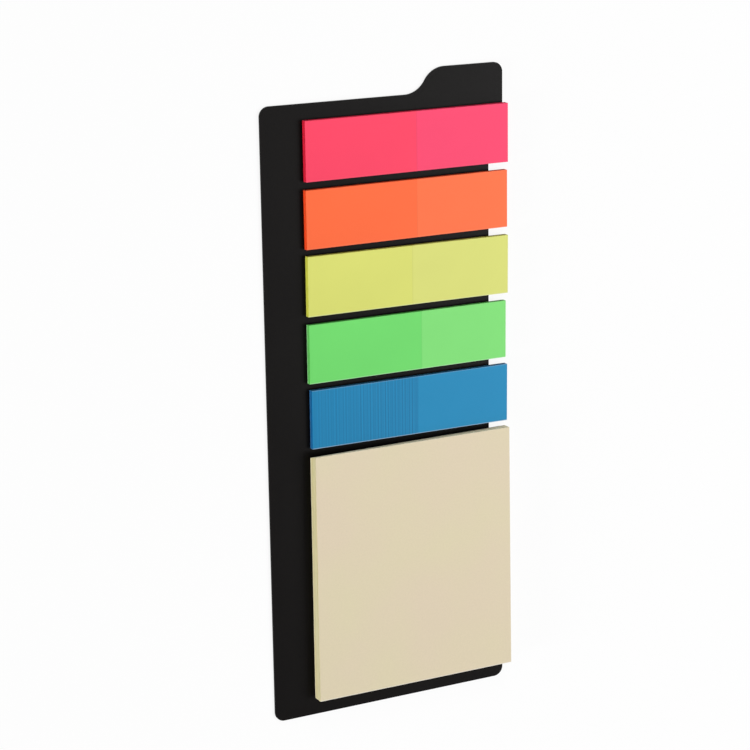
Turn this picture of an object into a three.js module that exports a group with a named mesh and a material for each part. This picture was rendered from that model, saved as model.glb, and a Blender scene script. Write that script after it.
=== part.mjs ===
import * as THREE from 'three';

// A sticky note set: five stacks of film index flags and one pad of paper notes, stuck to a black
// backing card with an index tab. It lies on its back. X runs to the flags' free ends, Y runs up the
// card to the tab, Z comes out of the front face. The origin is on the underside, at the middle of
// the set's outline. All sizes are in millimetres.

// Flags and notes are cut to one length, so that their ends line up
const SHEET_LENGTH = 44.5;

// Sheets of one stack of film flags
const FLAG_HEIGHT = 12;
const FLAG_FILM_THICKNESS = 0.055;
const FLAGS_IN_STACK = 20;

// Sheets of the note pad
const NOTE_HEIGHT = 52;
const NOTE_PAPER_THICKNESS = 0.08;
const NOTES_IN_PAD = 30;

// Where the stacks lie on the card
const LEFT_MARGIN = 9;
const TOP_MARGIN = 3.1;
const BOTTOM_MARGIN = 3.5;
const FLAG_GAP = 1.4;
const NOTE_GAP = 1;
const END_OVERHANG = 0.5;

// Backing card
const CARD_THICKNESS = 0.5;
const CARD_CORNER_RADIUS = 2;

// Index tab at the card's top right, with an ogee shoulder on its left
const TAB_RISE = 5;
const TAB_FLAT_LENGTH = 11;
const TAB_CORNER_RADIUS = 2;
const SHOULDER_RUN = 8.8;

// Recess in the card's right edge, which lets a finger reach under the flags' free ends
const RECESS_DEPTH = 3.2;
const RECESS_CORNER_RADIUS = 1.2;
const RECESS_REACH_BEHIND_FLAG = 7;
const RECESS_REACH_BEHIND_PAD = 7;

// The stacks from the tab down. Each was laid a little off its place, by drift in X and Y.
const FLAG_STACKS = [
  { name: 'flag_stack_pink', colour: 0xff4f70, drift: [0.05, 0] },
  { name: 'flag_stack_orange', colour: 0xff764f, drift: [-0.1, 0.1] },
  { name: 'flag_stack_yellow', colour: 0xdee07c, drift: [0.05, 0.15] },
  { name: 'flag_stack_green', colour: 0x7add77, drift: [-0.25, 0] },
  { name: 'flag_stack_blue', colour: 0x3388b8, drift: [0.05, 0] },
];

const CARD_COLOUR = 0x201f20;
const PAPER_COLOUR = 0xe0d4b4;
const ARC_SEGMENTS = 8;
const QUARTER_TURN = Math.PI / 2;

// The card is as wide and as high as its stacks and margins need
const flagPitch = FLAG_HEIGHT + FLAG_GAP;
const flagsHeight = FLAG_STACKS.length * flagPitch - FLAG_GAP;
const cardWidth = LEFT_MARGIN + SHEET_LENGTH - END_OVERHANG;
const noteTop = BOTTOM_MARGIN + NOTE_HEIGHT;
const flagsTop = noteTop + NOTE_GAP + flagsHeight;
const shoulderHeight = flagsTop + TOP_MARGIN;
const cardHeight = shoulderHeight + TAB_RISE;
const setWidth = Math.max(cardWidth, LEFT_MARGIN + SHEET_LENGTH + largestDrift(0));

function largestDrift(axis) {
  return Math.max(0, ...FLAG_STACKS.map((stack) => stack.drift[axis]));
}

// The ogee shoulder is two equal arcs, tangent to the card's edge, to each other and to the tab's edge
function shoulderArc() {
  const radius = (SHOULDER_RUN ** 2 + TAB_RISE ** 2) / (4 * TAB_RISE);
  const sweep = 2 * Math.atan(TAB_RISE / SHOULDER_RUN);
  return { radius, sweep };
}

// The card's outline, counterclockwise from its bottom left corner, which is at 0, 0
function cardOutline() {
  const corner = CARD_CORNER_RADIUS;
  const tabCorner = TAB_CORNER_RADIUS;
  const nook = RECESS_CORNER_RADIUS;
  const recessX = cardWidth - RECESS_DEPTH;
  const recessBottom = noteTop - RECESS_REACH_BEHIND_PAD;
  const recessTop = flagsTop - FLAG_HEIGHT + RECESS_REACH_BEHIND_FLAG;
  const shoulder = shoulderArc();
  const shoulderTop = cardWidth - tabCorner - TAB_FLAT_LENGTH;
  const shoulderFoot = shoulderTop - SHOULDER_RUN;

  const outline = new THREE.Shape();
  outline.absarc(corner, corner, corner, 2 * QUARTER_TURN, 3 * QUARTER_TURN, false);
  outline.absarc(cardWidth - corner, corner, corner, 3 * QUARTER_TURN, 4 * QUARTER_TURN, false);

  outline.absarc(cardWidth - nook, recessBottom - nook, nook, 0, QUARTER_TURN, false);
  outline.absarc(recessX + nook, recessBottom + nook, nook, 3 * QUARTER_TURN, 2 * QUARTER_TURN, true);
  outline.absarc(recessX + nook, recessTop - nook, nook, 2 * QUARTER_TURN, QUARTER_TURN, true);
  outline.absarc(cardWidth - nook, recessTop + nook, nook, 3 * QUARTER_TURN, 4 * QUARTER_TURN, false);

  outline.absarc(cardWidth - tabCorner, cardHeight - tabCorner, tabCorner, 0, QUARTER_TURN, false);
  outline.absarc(
    shoulderTop, cardHeight - shoulder.radius, shoulder.radius,
    QUARTER_TURN, QUARTER_TURN + shoulder.sweep, false,
  );
  outline.absarc(
    shoulderFoot, shoulderHeight + shoulder.radius, shoulder.radius,
    3 * QUARTER_TURN + shoulder.sweep, 3 * QUARTER_TURN, true,
  );
  outline.absarc(corner, shoulderHeight - corner, corner, QUARTER_TURN, 2 * QUARTER_TURN, false);
  return outline;
}

// A stack's sheets are all cut at once, so it is one block with its lower left corner at 0, 0
function sheetStackOutline(height) {
  const outline = new THREE.Shape();
  outline.moveTo(0, 0);
  outline.lineTo(SHEET_LENGTH, 0);
  outline.lineTo(SHEET_LENGTH, height);
  outline.lineTo(0, height);
  return outline;
}

function solid(name, outline, thickness, finish) {
  const geometry = new THREE.ExtrudeGeometry(outline, {
    depth: thickness,
    curveSegments: ARC_SEGMENTS,
    bevelEnabled: false,
  });
  const mesh = new THREE.Mesh(geometry, new THREE.MeshStandardMaterial(finish));
  mesh.name = name;
  return mesh;
}

function backingCard() {
  const finish = { color: CARD_COLOUR, roughness: 0.55, metalness: 0 };
  return solid('backing_card', cardOutline(), CARD_THICKNESS, finish);
}

function flagStack({ name, colour, drift }, place) {
  const outline = sheetStackOutline(FLAG_HEIGHT);
  const finish = { color: colour, roughness: 0.4, metalness: 0 };
  const stack = solid(name, outline, FLAGS_IN_STACK * FLAG_FILM_THICKNESS, finish);
  const bottom = flagsTop - FLAG_HEIGHT - place * flagPitch;
  stack.position.set(LEFT_MARGIN + drift[0], bottom + drift[1], CARD_THICKNESS);
  return stack;
}

function notePad() {
  const outline = sheetStackOutline(NOTE_HEIGHT);
  const finish = { color: PAPER_COLOUR, roughness: 0.85, metalness: 0 };
  const pad = solid('note_pad', outline, NOTES_IN_PAD * NOTE_PAPER_THICKNESS, finish);
  pad.position.set(LEFT_MARGIN, BOTTOM_MARGIN, CARD_THICKNESS);
  return pad;
}

const stickyNoteSet = new THREE.Group();
stickyNoteSet.add(backingCard());
stickyNoteSet.add(...FLAG_STACKS.map(flagStack));
stickyNoteSet.add(notePad());
stickyNoteSet.position.set(-setWidth / 2, -cardHeight / 2, 0);

export default stickyNoteSet;
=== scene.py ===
from collections import namedtuple
import math
import random

import bmesh
import bpy
from mathutils import Matrix, Vector


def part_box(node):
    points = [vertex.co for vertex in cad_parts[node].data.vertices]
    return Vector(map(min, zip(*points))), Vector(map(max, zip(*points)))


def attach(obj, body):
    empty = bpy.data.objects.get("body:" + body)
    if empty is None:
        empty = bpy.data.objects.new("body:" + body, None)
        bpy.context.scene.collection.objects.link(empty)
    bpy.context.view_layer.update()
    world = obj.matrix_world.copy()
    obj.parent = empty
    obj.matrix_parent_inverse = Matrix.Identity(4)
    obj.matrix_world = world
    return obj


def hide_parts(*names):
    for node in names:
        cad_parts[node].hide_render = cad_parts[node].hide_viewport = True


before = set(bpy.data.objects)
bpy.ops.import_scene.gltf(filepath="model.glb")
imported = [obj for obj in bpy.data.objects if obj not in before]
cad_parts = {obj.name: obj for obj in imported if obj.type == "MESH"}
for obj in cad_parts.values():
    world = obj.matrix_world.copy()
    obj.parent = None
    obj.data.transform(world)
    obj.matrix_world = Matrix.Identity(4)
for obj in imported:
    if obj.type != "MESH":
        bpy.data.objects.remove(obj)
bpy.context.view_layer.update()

MM = 0.001

# Camera, fitted to the photograph: it looks down on the card from its upper left
CAMERA_PLACE_MM = (-205.2, 123.3, 400.3)
CAMERA_AIM_MM = (-2.84, 4.49, 0.0)
CAMERA_ROLL_DEG = 116.02
CAMERA_FOCAL_PX = 2322.9
IMAGE_WIDTH_PX = 750
SENSOR_MM = 36

# Sheets in the stacks: thickness, the share of it that stays open as a gap, how far they lie off
# each other, and the grid of points that each is made of
FILM_MM = 0.055
PAPER_MM = 0.08
SHEET_GAP_SHARE = 0.06
FILM_WANDER_MM = 0.05
PAPER_WANDER_MM = 0.06
SHEET_COLUMNS = 20
SHEET_ROWS = 12
PAPER_SEED = 11

# The card's cut edges are rounded over, wherever two faces meet at more than the least angle. Before
# that, points closer than the merge distance are joined, and faces in one plane.
CARD_EDGE_BEVEL_MM = 0.04
CARD_EDGE_SEGMENTS = 3
ROUND_PROFILE = 0.5
CARD_EDGE_LEAST_ANGLE_DEG = 60
MERGE_DISTANCE_M = 1e-7
ONE_PLANE_ANGLE_DEG = 1

# How the pad lies: its turn, how far its front note's upper edge lies below the outline, how much
# further back the note on the card lies at the upper left and the upper right, and how far the right
# side leans out at its lower and its upper end
PAD_TURN_DEG = -0.08
PAD_TRIM_MM = 0.2
PAD_SLANT_LEFT_MM = 0.64
PAD_SLANT_RIGHT_MM = 0.17
PAD_LOWER_RIGHT_MM = 0.32
PAD_UPPER_RIGHT_MM = -0.23

# How much flatter the pad is where it is gummed, and where along the sheets that ends. The flags'
# free ends start to rise at their own share of the length.
PAD_PRESS_MM = 0.07
PAD_PRESS_END = 0.4
FREE_END_START = 0.6

# Painted highlights along cut edges and on the rim next to the card: where each ends, and up to where
# it is full
EDGE_HIGHLIGHT_MM = 0.22
EDGE_HIGHLIGHT_FULL_MM = 0.1
BACK_RIM_MM = 0.45
BACK_RIM_FULL_MM = 0.225

# The gum's end: how softly the two colours meet, and the thin darker line there
GUM_END_SOFTNESS_MM = 0.08
GUM_LINE_MM = 0.16
GUM_LINE_SHADE = 0.93

# Painted shade: a film's upper cut edge is deeper in tone by this factor, as if in shadow
UPPER_EDGE_PAINTED_SHADE = 0.5

# How far a surface looks along an axis, from where it starts to count as a sheet's face, or as its
# upper edge or left side, to where it counts in full
FACE_LOOK = (0.3, 0.8)
SIDE_LOOK = (0.5, 0.9)

# Fine lines in the blue film's gum, which are deepest at the gum's end
RIPPLE_PITCHES_MM = (0.78, 0.55)
RIPPLE_DEPTH = 0.13
RIPPLE_DEPTH_AT_LEFT = 0.5

# Where noise starts and ends, on each side of its middle, in a soft and in a clear pattern
SOFT = 0.2
CLEAR = 0.15

# An even world and a pale floor: the light they give, and how far the camera sees them as white
WORLD_LIGHT = 0.15
WORLD_SEEN = 1.0
FLOOR_HALF_M = 3.0
FLOOR_DROP_MM = 0.02
FLOOR_LEVEL = 0.9
FLOOR_WHITE_SHARE = 0.89

# Lamps: direction from the object, distance and size in metres, the share that each gives of the
# light at which colours are as written, and whether it is mirrored. A low lamp isn't, because its
# glare would hide the card from the opposite side.
Lamp = namedtuple("Lamp", "toward distance size share mirrored")
LAMPS = {
    "right": Lamp((0.74, -0.12, 0.66), 1.5, 0.75, 0.57, True),
    "left": Lamp((-0.97, -0.2, 0.15), 1.0, 0.25, 0.125, False),
    "below": Lamp((0.1, -0.8, 0.55), 1.0, 0.4, 0.05, False),
    "above": Lamp((0.05, 0.9, 0.42), 1.0, 0.25, 0.11, False),
    "sheen": Lamp((0.175, 0.03, 0.4), 0.45, 0.12, 0.031, True),
}


def srgb(red, green, blue):
    """A linear colour from the 8-bit levels that it renders as."""
    def linear(level):
        share = level / 255
        return share / 12.92 if share <= 0.04045 else ((share + 0.055) / 1.055) ** 2.4
    return (linear(red), linear(green), linear(blue), 1)


# How strong the painted highlights are, from 0 to 1, where the sheets' cut edges look lit: along the
# lower edge, along the upper edge, and on the left side of the sheets next to the card
Burrs = namedtuple("Burrs", "lower upper back")

# How far a stack's left, right, lower and upper edge lie outside the CAD outline, in millimetres
Lay = namedtuple("Lay", "left right lower upper")

# A film's colours in its gummed part, its free part and its cut edges, how far the gum reaches from
# the left, its painted edge highlights, how its stack lies, and how far the stack's free end spreads
Film = namedtuple("Film", "gummed free edge gum_mm burrs turn_deg lay rise_mm")

FILMS = {
    "pink": Film(
        srgb(253, 65, 99), srgb(251, 69, 111), srgb(222, 34, 60), gum_mm=24.0,
        burrs=Burrs(0.03, 0.0, 0.0), turn_deg=0.08, lay=Lay(0.16, 0.02, -0.07, -0.05), rise_mm=0.16,
    ),
    "orange": Film(
        srgb(255, 107, 57), srgb(255, 115, 67), srgb(248, 80, 36), gum_mm=24.1,
        burrs=Burrs(0.06, 0.0, 0.0), turn_deg=0.1, lay=Lay(0.14, 0.03, -0.13, -0.22), rise_mm=0.08,
    ),
    "yellow": Film(
        srgb(217, 220, 112), srgb(217, 220, 120), srgb(214, 216, 76), gum_mm=22.8,
        burrs=Burrs(0.35, 0.0, 0.06), turn_deg=-0.26, lay=Lay(0.19, 0.03, 0.0, -0.02), rise_mm=0.2,
    ),
    "green": Film(
        srgb(110, 216, 106), srgb(127, 221, 118), srgb(104, 200, 98), gum_mm=25.0,
        burrs=Burrs(0.5, 0.02, 0.42), turn_deg=-0.17, lay=Lay(-0.07, -0.14, -0.04, -0.06), rise_mm=0.05,
    ),
    "blue": Film(
        srgb(16, 124, 172), srgb(23, 134, 182), srgb(27, 108, 168), gum_mm=23.8,
        burrs=Burrs(0.55, 0.14, 0.1), turn_deg=-0.28, lay=Lay(-0.07, -0.1, -0.03, 0.02), rise_mm=0.06,
    ),
}

PAPER_PAINTED_HIGHLIGHTS = Burrs(0.35, 0.0, 0.75)

# Colours between which a surface wanders
PAPER_FACE = (srgb(223, 212, 180), srgb(224, 209, 183))
PAPER_EDGE = (srgb(220, 211, 156), srgb(221, 216, 177))
CARD_BLACK = (srgb(11, 9, 9), srgb(15, 13, 12))
# Pale colour painted on the pad's upper edge and on its left side next to the card, as painted light
PAPER_PAINTED_EDGE_LIGHT = srgb(252, 244, 210)
WHITE = (1, 1, 1, 1)

# Patterns of noise. A scale is the number of features in a metre, or that along X, Y and Z.
FILM_CLOUD = {"scale": 70, "detail": 2}
FILM_EDGE_SHEETS = {"scale": (900, 900, 9000)}
FILM_GRAIN = {"scale": 9000, "detail": 2}
FILM_WAVES = {"scale": (70, 140, 0)}
FILM_GLOSS = {"scale": 2500}
RIPPLE_DRIFT = {"scale": (260, 6, 0), "detail": 1}
RIPPLE_FADING = {"scale": (420, 25, 0), "detail": 1}
PAPER_FIBRES = {"scale": 2600, "detail": 5, "roughness": 0.65}
PAPER_MOTTLE = {"scale": 45}
PAPER_EDGE_BANDS = {"scale": (25, 25, 1300), "detail": 1}
PAPER_EDGE_SHEETS = {"scale": (60, 60, 11000), "detail": 1}
CARD_GRAIN = {"scale": 5200, "detail": 4, "roughness": 0.6}
CARD_SMUDGES = {"scale": 60}

# Factors between which a pattern, or the way from the lower to the upper edge, shades a colour. The
# way from the lower to the upper edge is painted light, a little lighter towards the upper edge.
FILM_CLOUD_SHADE = (0.98, 1.015)
FILM_EDGE_SHADE = (0.8, 1.1)
FILM_PAINTED_LIGHT_LOWER_TO_UPPER = (0.98, 1.02)
RIPPLE_FADING_SHARE = (0.4, 1.0)
PAPER_FIBRES_SHADE = (0.975, 1.02)
PAPER_EDGE_SHADE = (0.9, 1.03)
PAPER_PAINTED_LIGHT_LOWER_TO_UPPER = (0.975, 1.015)

# Gloss: roughness, and the specular level of the shader
FILM_ROUGHNESS = (0.42, 0.52)
FILM_SPECULAR = 0.15
PAPER_ROUGHNESS = 0.9
PAPER_SPECULAR = 0.2
CARD_ROUGHNESS = (0.29, 0.35)
CARD_SPECULAR = 0.05
FLOOR_ROUGHNESS = 0.9
FLOOR_SPECULAR = 0.1

# Relief too fine for the meshes: height in millimetres, and strength
FILM_GRAIN_RELIEF = (0.004, 0.5)
FILM_WAVES_RELIEF = (0.05, 0.5)
PAPER_FIBRES_RELIEF = (0.012, 0.6)
CARD_GRAIN_RELIEF = (0.012, 0.5)


def new_object(name, data):
    piece = bpy.data.objects.new(name, data)
    bpy.context.scene.collection.objects.link(piece)
    return piece


class Nodes:
    """A material's node tree around one Principled shader, with short ways to add nodes."""

    def __init__(self, name):
        self.material = bpy.data.materials.new(name)
        self.material.use_nodes = True
        self.tree = self.material.node_tree
        self.shader = self.tree.nodes["Principled BSDF"]

    def add(self, kind, inputs=None, **settings):
        node = self.tree.nodes.new(kind)
        for key, value in settings.items():
            setattr(node, key, value)
        for key, value in (inputs or {}).items():
            self.set(node.inputs[key], value)
        return node

    def set(self, socket, value):
        """Link a socket to another node's output, or give it a constant value of its own."""
        if isinstance(value, bpy.types.NodeSocket):
            self.tree.links.new(value, socket)
        else:
            socket.default_value = value

    def surface(self, **values):
        for key, value in values.items():
            self.set(self.shader.inputs[key.replace("_", " ")], value)

    def position(self):
        return self.add("ShaderNodeTexCoord").outputs["Object"]

    def axis(self, name):
        return self.add("ShaderNodeSeparateXYZ", {"Vector": self.position()}).outputs[name]

    def noise(self, scale, detail=3, roughness=0.5):
        """Noise with features of about 1 / scale metres, or with a scale of its own on each axis."""
        if isinstance(scale, tuple):
            mapping = {"Vector": self.position(), "Scale": scale}
            vector, scale = self.add("ShaderNodeMapping", mapping).outputs[0], 1.0
        else:
            vector = self.position()
        inputs = {"Vector": vector, "Scale": scale, "Detail": detail, "Roughness": roughness}
        return self.add("ShaderNodeTexNoise", inputs).outputs[0]

    def ramp(self, value, low, high, to_low=0.0, to_high=1.0, kind="LINEAR"):
        """The value, mapped from low and high to to_low and to_high, and level beyond them."""
        inputs = {
            "Value": value, "From Min": low, "From Max": high, "To Min": to_low, "To Max": to_high,
        }
        return self.add("ShaderNodeMapRange", inputs, interpolation_type=kind).outputs[0]

    def step(self, value, low, high, to_low=0.0, to_high=1.0):
        return self.ramp(value, low, high, to_low, to_high, kind="SMOOTHSTEP")

    def spread(self, noise, reach, to_low=0.0, to_high=1.0):
        """Noise that runs from to_low to to_high over the reach on each side of its middle."""
        return self.ramp(noise, 0.5 - reach, 0.5 + reach, to_low, to_high)

    def mix(self, factor, first, second, blend="MIX"):
        node = self.add("ShaderNodeMix", data_type="RGBA", blend_type=blend)
        self.set(node.inputs["Factor"], factor)
        self.set(node.inputs["A"], first)
        self.set(node.inputs["B"], second)
        return node.outputs["Result"]

    def shaded(self, colour, shade):
        return self.mix(1.0, colour, shade, "MULTIPLY")

    def math(self, operation, first, second=0.0):
        node = self.add("ShaderNodeMath", operation=operation)
        self.set(node.inputs[0], first)
        self.set(node.inputs[1], second)
        return node.outputs[0]

    def bump(self, height, relief, normal=None):
        height_mm, strength = relief
        inputs = {"Height": height, "Distance": height_mm * MM, "Strength": strength}
        if normal:
            inputs["Normal"] = normal
        return self.add("ShaderNodeBump", inputs).outputs[0]

    def facing(self, axis):
        """1 on faces that look along an axis, 0 on those at a right angle, -1 on the opposite ones."""
        normal = self.add("ShaderNodeNewGeometry").outputs["True Normal"]
        return self.add("ShaderNodeSeparateXYZ", {"Vector": normal}).outputs[axis]

    def is_face(self):
        """1 on a sheet's front and back, 0 on its cut edges."""
        return self.step(self.math("ABSOLUTE", self.facing("Z")), *FACE_LOOK)

    def is_upper_edge(self, elsewhere=0.0, there=1.0):
        return self.step(self.facing("Y"), *SIDE_LOOK, elsewhere, there)

    def is_left_side(self):
        return self.step(self.math("MULTIPLY", self.facing("X"), -1.0), *SIDE_LOOK)

    def back_rim_highlight(self, paleness):
        """The painted highlight on the left side of the sheets next to the card, and 0 elsewhere."""
        near_card = self.step(self.axis("Z"), BACK_RIM_FULL_MM * MM, BACK_RIM_MM * MM, paleness, 0.0)
        return self.math("MULTIPLY", near_card, self.is_left_side())

    def burr(self, distance, paleness):
        """The painted highlight at a cut edge, down to 0 at the highlight's width from it."""
        return self.step(distance, EDGE_HIGHLIGHT_FULL_MM * MM, EDGE_HIGHLIGHT_MM * MM, paleness, 0.0)

    def ripples(self, along):
        """Fine parallel lines, from -2 to 2, a little uneven in their spacing and depth."""
        drift = self.noise(**RIPPLE_DRIFT)
        total = 0.0
        for pitch in RIPPLE_PITCHES_MM:
            turns = self.math("ADD", self.math("MULTIPLY", along, 1 / (pitch * MM)), drift)
            wave = self.math("SINE", self.math("MULTIPLY", turns, 2 * math.pi))
            total = self.math("ADD", wave, total)
        fading = self.spread(self.noise(**RIPPLE_FADING), CLEAR, *RIPPLE_FADING_SHARE)
        return self.math("MULTIPLY", total, fading)


def film_material(colour, size):
    """Plastic film: gummed on the left, plain on the right."""
    film = FILMS[colour]
    tree = Nodes("film_" + colour)
    x, y = tree.axis("X"), tree.axis("Y")
    left = -size.x / 2
    lower = -size.y / 2 - film.lay.lower * MM
    upper = size.y / 2 + film.lay.upper * MM
    gum_end = left + film.gum_mm * MM

    softness = GUM_END_SOFTNESS_MM * MM
    is_free = tree.step(x, gum_end - softness, gum_end + softness)
    face = tree.mix(is_free, film.gummed, film.free)
    if colour == "blue":
        deepening = tree.ramp(x, left, gum_end, RIPPLE_DEPTH_AT_LEFT, 1.0)
        is_gummed = tree.math("SUBTRACT", 1.0, is_free)
        depth = tree.math("MULTIPLY", tree.math("MULTIPLY", is_gummed, deepening), RIPPLE_DEPTH)
        shade = tree.math("ADD", 1.0, tree.math("MULTIPLY", tree.ripples(x), depth))
        face = tree.shaded(face, shade)
    # Painted light: the face is a little lighter towards its upper edge
    face = tree.shaded(face, tree.ramp(y, lower, upper, *FILM_PAINTED_LIGHT_LOWER_TO_UPPER))

    # The gum's end shows as a thin darker line
    near_end = tree.math("ABSOLUTE", tree.math("SUBTRACT", x, gum_end))
    face = tree.shaded(face, tree.step(near_end, 0.0, GUM_LINE_MM * MM, GUM_LINE_SHADE, 1.0))

    # Soft unevenness of the pigment
    face = tree.shaded(face, tree.spread(tree.noise(**FILM_CLOUD), SOFT, *FILM_CLOUD_SHADE))

    # Painted highlights: the face is paler along its lower and upper cut edges, as if they caught the
    # light
    pale = tuple((1 + level) / 2 for level in film.free)
    face = tree.mix(tree.burr(tree.math("SUBTRACT", y, lower), film.burrs.lower), face, pale)
    face = tree.mix(tree.burr(tree.math("SUBTRACT", upper, y), film.burrs.upper), face, pale)

    # Sheets differ a little in tone at their cut edges
    sheets = tree.spread(tree.noise(**FILM_EDGE_SHEETS), SOFT, *FILM_EDGE_SHADE)
    edge = tree.shaded(film.edge, sheets)
    # Painted highlight on the left side next to the card
    edge = tree.mix(tree.back_rim_highlight(film.burrs.back), edge, pale)
    # Painted shade on the upper cut edge
    edge = tree.shaded(edge, tree.is_upper_edge(1.0, UPPER_EDGE_PAINTED_SHADE))

    grain = tree.bump(tree.noise(**FILM_GRAIN), FILM_GRAIN_RELIEF)
    tree.surface(
        Base_Color=tree.mix(tree.is_face(), edge, face),
        Roughness=tree.spread(tree.noise(**FILM_GLOSS), SOFT, *FILM_ROUGHNESS),
        Specular_IOR_Level=FILM_SPECULAR,
        Normal=tree.bump(tree.noise(**FILM_WAVES), FILM_WAVES_RELIEF, grain),
    )
    return tree.material


def paper_material(size):
    """Uncoated paper with fine fibres, a soft mottle, and edges that show the single notes."""
    tree = Nodes("paper_cream")
    y, lower = tree.axis("Y"), -size.y / 2
    fibres = tree.noise(**PAPER_FIBRES)
    face = tree.mix(tree.spread(tree.noise(**PAPER_MOTTLE), CLEAR), *PAPER_FACE)
    face = tree.shaded(face, tree.spread(fibres, SOFT, *PAPER_FIBRES_SHADE))
    # Painted light: the face is a little lighter towards its upper edge
    face = tree.shaded(face, tree.ramp(y, lower, size.y / 2, *PAPER_PAINTED_LIGHT_LOWER_TO_UPPER))
    # Painted highlight: the face is paler along its lower cut edge
    face = tree.mix(tree.burr(tree.math("SUBTRACT", y, lower), PAPER_PAINTED_HIGHLIGHTS.lower), face, WHITE)

    edge = tree.mix(tree.spread(tree.noise(**PAPER_EDGE_BANDS), CLEAR), *PAPER_EDGE)
    sheets = tree.spread(tree.noise(**PAPER_EDGE_SHEETS), SOFT, *PAPER_EDGE_SHADE)
    edge = tree.shaded(edge, sheets)

    # Painted light: the upper edge is pale as if lit, and so is the left side next to the card, a
    # painted highlight
    edge = tree.mix(tree.back_rim_highlight(PAPER_PAINTED_HIGHLIGHTS.back), edge, PAPER_PAINTED_EDGE_LIGHT)
    edge = tree.mix(tree.is_upper_edge(), edge, PAPER_PAINTED_EDGE_LIGHT)
    tree.surface(
        Base_Color=tree.mix(tree.is_face(), edge, face),
        Roughness=PAPER_ROUGHNESS,
        Specular_IOR_Level=PAPER_SPECULAR,
        Normal=tree.bump(fibres, PAPER_FIBRES_RELIEF),
    )
    return tree.material


def card_material():
    """Satin black sheet with a fine grain and faint smudges."""
    tree = Nodes("card_black")
    grain = tree.noise(**CARD_GRAIN)
    tree.surface(
        Base_Color=tree.mix(tree.spread(grain, CLEAR), *CARD_BLACK),
        Roughness=tree.spread(tree.noise(**CARD_SMUDGES), SOFT, *CARD_ROUGHNESS),
        Specular_IOR_Level=CARD_SPECULAR,
        Normal=tree.bump(grain, CARD_GRAIN_RELIEF),
    )
    return tree.material


def card_sheet():
    """The backing card, with its cut edges softly rounded over."""
    shape = bmesh.new()
    shape.from_mesh(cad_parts["backing_card"].data)
    bmesh.ops.remove_doubles(shape, verts=shape.verts, dist=MERGE_DISTANCE_M)
    bmesh.ops.dissolve_limit(
        shape, angle_limit=math.radians(ONE_PLANE_ANGLE_DEG), verts=shape.verts, edges=shape.edges,
    )
    least_angle = math.radians(CARD_EDGE_LEAST_ANGLE_DEG)
    rims = [e for e in shape.edges if len(e.link_faces) == 2 and e.calc_face_angle() > least_angle]
    bmesh.ops.bevel(
        shape, geom=rims, affect="EDGES", offset=CARD_EDGE_BEVEL_MM * MM,
        segments=CARD_EDGE_SEGMENTS, profile=ROUND_PROFILE,
    )
    mesh = bpy.data.meshes.new("card_sheet")
    shape.to_mesh(mesh)
    shape.free()
    mesh.materials.append(card_material())
    return new_object("card_sheet", mesh)


def sheet_layer(shape, middle, length, width, height, shift):
    """A grid of points over a sheet's lower or upper face, in rows along its length."""
    layer = []
    for row in range(SHEET_ROWS + 1):
        along = row / SHEET_ROWS
        line = []
        for column in range(SHEET_COLUMNS + 1):
            across = column / SHEET_COLUMNS
            place = middle + Vector(((across - 0.5) * length, (along - 0.5) * width, 0))
            line.append(shape.verts.new(place + shift(across, along, height) * MM))
        layer.append(line)
    return layer


def sheet_stack(name, node, sheet_mm, wander_mm, turn_deg, shift, seed):
    """Sheets that lie on each other in a CAD stack's place, each a little off its neighbours.

    shift(across, along, height) gives how far a point lies off the plain block, in millimetres. Its
    arguments run from 0 to 1 over the stack's length, its width and its thickness.
    """
    draw = random.Random(seed)
    low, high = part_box(node)
    size = high - low
    count = round(size.z / (sheet_mm * MM))
    pitch = size.z / count
    wander = wander_mm * MM
    length, width = size.x - wander, size.y - wander
    shape = bmesh.new()
    for sheet in range(count):
        slip = Vector((draw.uniform(-0.5, 0.5), draw.uniform(-0.5, 0.5))) * wander
        height = (sheet + 0.5) / count
        layers = []
        for level in (sheet * pitch, (sheet + 1 - SHEET_GAP_SHARE) * pitch):
            middle = Vector((slip.x, slip.y, level))
            layers.append(sheet_layer(shape, middle, length, width, height, shift))
        close_sheet(shape, *layers)
    mesh = bpy.data.meshes.new(name)
    shape.to_mesh(mesh)
    shape.free()
    piece = new_object(name, mesh)
    piece.location = ((low.x + high.x) / 2, (low.y + high.y) / 2, low.z)
    piece.rotation_euler.z = math.radians(turn_deg)
    return piece


def close_sheet(shape, under, over):
    """Faces round a sheet's lower and upper grid of points."""
    rows, columns = len(under), len(under[0])
    for row in range(rows - 1):
        for column in range(columns - 1):
            ring = ((row, column), (row, column + 1), (row + 1, column + 1), (row + 1, column))
            shape.faces.new([over[r][c] for r, c in ring])
            shape.faces.new([under[r][c] for r, c in reversed(ring)])
    around = [(0, c) for c in range(columns)]
    around += [(r, columns - 1) for r in range(1, rows)]
    around += [(rows - 1, c) for c in range(columns - 2, -1, -1)]
    around += [(r, 0) for r in range(rows - 2, 0, -1)]
    for (r1, c1), (r2, c2) in zip(around, around[1:] + around[:1]):
        shape.faces.new([under[r1][c1], under[r2][c2], over[r2][c2], over[r1][c1]])


def smooth_rise(value, start):
    """0 up to start, then a rise that steepens to reach 1 at 1."""
    share = max(0.0, (value - start) / (1 - start))
    return share * share


def film_shift(film):
    """How a stack lies: its edges as in its lay, and its free right end rising off the card."""
    def shift(across, along, height):
        return Vector((
            film.lay.right * across - film.lay.left * (1 - across),
            film.lay.upper * along - film.lay.lower * (1 - along),
            film.rise_mm * height ** 2 * smooth_rise(across, FREE_END_START),
        ))
    return shift


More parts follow.
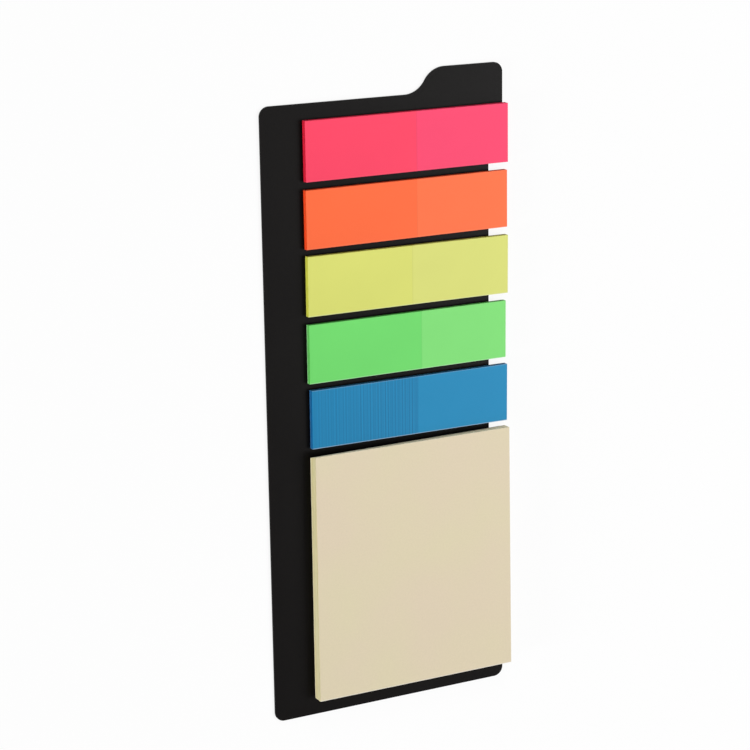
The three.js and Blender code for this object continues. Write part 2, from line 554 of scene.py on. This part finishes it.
def paper_shift(across, along, height):
    """The notes are pressed together at their gummed upper edge, and loose at the lower one."""
    slant = PAD_SLANT_RIGHT_MM * across + PAD_SLANT_LEFT_MM * (1 - across)
    lean = PAD_UPPER_RIGHT_MM * along + PAD_LOWER_RIGHT_MM * (1 - along)
    return Vector((
        lean * across * height,
        -along * (PAD_TRIM_MM + slant * (1 - height)),
        PAD_PRESS_MM * height * (smooth_rise(1 - along, PAD_PRESS_END) - 1),
    ))


def finish_piece(piece, node):
    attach(piece, "root")
    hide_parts(node)


def node_size(node):
    low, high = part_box(node)
    return high - low


def make_object():
    finish_piece(card_sheet(), "backing_card")
    for seed, (colour, film) in enumerate(FILMS.items(), start=1):
        node = "flag_stack_" + colour
        piece = sheet_stack(
            "film_flags_" + colour, node, FILM_MM, FILM_WANDER_MM, film.turn_deg, film_shift(film), seed,
        )
        piece.data.materials.append(film_material(colour, node_size(node)))
        finish_piece(piece, node)
    pad = sheet_stack(
        "paper_notes", "note_pad", PAPER_MM, PAPER_WANDER_MM, PAD_TURN_DEG, paper_shift, PAPER_SEED,
    )
    pad.data.materials.append(paper_material(node_size("note_pad")))
    finish_piece(pad, "note_pad")


def pale_floor():
    """A white floor that keeps a faint shadow of the object."""
    half, level = FLOOR_HALF_M, -FLOOR_DROP_MM * MM
    corners = [(-half, -half, level), (half, -half, level), (half, half, level), (-half, half, level)]
    mesh = bpy.data.meshes.new("floor")
    mesh.from_pydata(corners, [], [(0, 1, 2, 3)])
    floor = new_object("floor", mesh)
    tree = Nodes("floor_white")
    tree.surface(
        Base_Color=(FLOOR_LEVEL, FLOOR_LEVEL, FLOOR_LEVEL, 1),
        Roughness=FLOOR_ROUGHNESS,
        Specular_IOR_Level=FLOOR_SPECULAR,
    )
    glow = tree.add("ShaderNodeEmission", {"Color": WHITE, "Strength": 1.0})
    light_path = tree.add("ShaderNodeLightPath")
    seen = light_path.outputs["Is Camera Ray"]
    for kind in ("Is Glossy Ray", "Is Transmission Ray"):
        seen = tree.math("MAXIMUM", seen, light_path.outputs[kind])
    blend = tree.add("ShaderNodeMixShader", {"Fac": tree.math("MULTIPLY", seen, FLOOR_WHITE_SHARE)})
    tree.set(blend.inputs[1], tree.shader.outputs[0])
    tree.set(blend.inputs[2], glow.outputs[0])
    tree.set(tree.tree.nodes["Material Output"].inputs["Surface"], blend.outputs[0])
    mesh.materials.append(tree.material)


def soft_world():
    """An even white studio: it lights the object plainly and is seen as white."""
    world = bpy.data.worlds.new("studio")
    bpy.context.scene.world = world
    world.use_nodes = True
    tree = world.node_tree
    background = tree.nodes["Background"]
    background.inputs["Color"].default_value = WHITE
    light_path = tree.nodes.new("ShaderNodeLightPath")
    seen = light_path.outputs["Is Camera Ray"]
    for kind in ("Is Glossy Ray", "Is Transmission Ray"):
        either = tree.nodes.new("ShaderNodeMath")
        either.operation = "MAXIMUM"
        tree.links.new(seen, either.inputs[0])
        tree.links.new(light_path.outputs[kind], either.inputs[1])
        seen = either.outputs[0]
    strength = tree.nodes.new("ShaderNodeMapRange")
    tree.links.new(seen, strength.inputs["Value"])
    strength.inputs["To Min"].default_value = WORLD_LIGHT
    strength.inputs["To Max"].default_value = WORLD_SEEN
    tree.links.new(strength.outputs[0], background.inputs["Strength"])


def softbox(name, lamp):
    """A square lamp, with the power at which a face turned up gets the lamp's share of light."""
    direction = Vector(lamp.toward).normalized()
    data = bpy.data.lights.new(name, "AREA")
    data.shape = "SQUARE"
    data.size = lamp.size
    data.energy = lamp.share * (math.pi * lamp.distance) ** 2 / direction.z
    light = new_object(name, data)
    light.location = direction * lamp.distance
    light.rotation_euler = (-direction).to_track_quat("-Z", "Y").to_euler()
    light.visible_glossy = lamp.mirrored


def photo_camera():
    camera_data = bpy.data.cameras.new("camera")
    camera_data.sensor_width = SENSOR_MM
    camera_data.lens = CAMERA_FOCAL_PX * SENSOR_MM / IMAGE_WIDTH_PX
    camera = new_object("camera", camera_data)
    place = Vector(CAMERA_PLACE_MM) * MM
    toward = Vector(CAMERA_AIM_MM) * MM - place
    level = toward.to_track_quat("-Z", "Y").to_matrix().to_4x4()
    roll = Matrix.Rotation(math.radians(CAMERA_ROLL_DEG), 4, "Z")
    camera.matrix_world = Matrix.Translation(place) @ level @ roll
    bpy.context.scene.camera = camera


make_object()
pale_floor()
soft_world()
for name, lamp in LAMPS.items():
    softbox(name, lamp)
photo_camera()
bpy.context.scene.view_settings.view_transform = "Standard"
